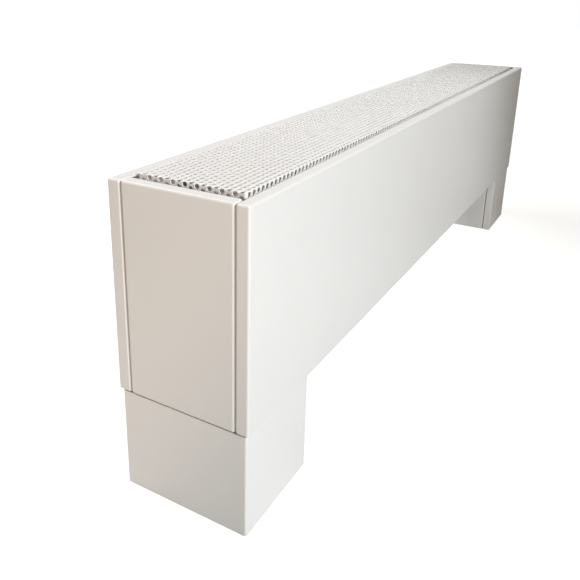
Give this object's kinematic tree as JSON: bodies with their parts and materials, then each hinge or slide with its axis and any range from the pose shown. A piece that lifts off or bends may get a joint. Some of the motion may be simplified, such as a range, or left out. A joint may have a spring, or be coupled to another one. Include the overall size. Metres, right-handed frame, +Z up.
{
  "type": "baseboard heater",
  "caption": "Long low convector casing on two hollow box feet, with a lift-out perforated top grille over a finned copper element and valves.",
  "frame": {"origin": "centre of the bounding box's bottom, on the floor", "axes": "+X along the heater towards the valve end, +Y from the front to the back, +Z up"},
  "size_m": [1.03, 0.14, 0.3092],
  "materials": {
    "powder_coat": "gloss powder coat",
    "grille_coat": "gloss powder coat",
    "galvanised_steel": "galvanised",
    "black_rubber": "matt",
    "fin_aluminium": "mill finish",
    "copper": null,
    "brass": "turned",
    "nickel_plate": "nickel plated",
    "white_plastic": "moulded",
    "zinc_plate": "zinc plated"
  },
  "bodies": {
    "casing": {"front_panel": "powder_coat", "back_panel": "powder_coat", "left_end_panel": "powder_coat", "right_end_panel": "powder_coat", "joint_strips": "powder_coat", "left_foot_cover": "powder_coat", "right_foot_cover": "powder_coat", "left_foot_panel": "powder_coat", "right_foot_panel": "powder_coat", "left_stand": "galvanised_steel", "right_stand": "galvanised_steel", "left_bracket": "galvanised_steel", "centre_bracket": "galvanised_steel", "right_bracket": "galvanised_steel", "element_slides": "black_rubber", "grille_pads": "black_rubber", "fins": "fin_aluminium", "flow_tube": "copper", "return_tube": "copper", "return_bend": "copper", "vent_body": "brass", "flow_valve": "nickel_plate", "return_valve": "nickel_plate", "valve_nuts": "nickel_plate", "valve_olives": "brass", "pipe_grommets": "black_rubber", "bracket_bolts": "zinc_plate", "panel_screws": "zinc_plate", "end_screws": "zinc_plate", "cover_screws": "powder_coat"},
    "grille": {"top_grille": "grille_coat"},
    "handwheel": {"valve_spindle": "nickel_plate", "handwheel": "white_plastic"},
    "lockshield_spindle": {"lockshield_spindle": "nickel_plate"},
    "lockshield_cap": {"lockshield_cap": "white_plastic"},
    "bleed_screw": {"bleed_screw": "brass"}
  },
  "joints": [
    {"name": "grille_lift", "type": "slide", "parent": "casing", "child": "grille", "axis": [0, 0, 1], "range_m": [0, 0.12]},
    {"name": "handwheel_turn", "type": "hinge", "parent": "casing", "child": "handwheel", "pos_m": [0.47, -0.025, 0.2632], "axis": [0, 0, 1], "range_deg": [0, 720]},
    {"name": "lockshield_turn", "type": "hinge", "parent": "casing", "child": "lockshield_spindle", "pos_m": [0.47, 0.025, 0.2532], "axis": [0, 0, 1], "range_deg": [0, 720]},
    {"name": "cap_pull", "type": "slide", "parent": "casing", "child": "lockshield_cap", "axis": [0, 0, 1], "range_m": [0, 0.02]},
    {"name": "bleed_turn", "type": "hinge", "parent": "casing", "child": "bleed_screw", "pos_m": [-0.488, 0, 0.2482], "axis": [0, 0, 1], "range_deg": [0, 360]}
  ]
}
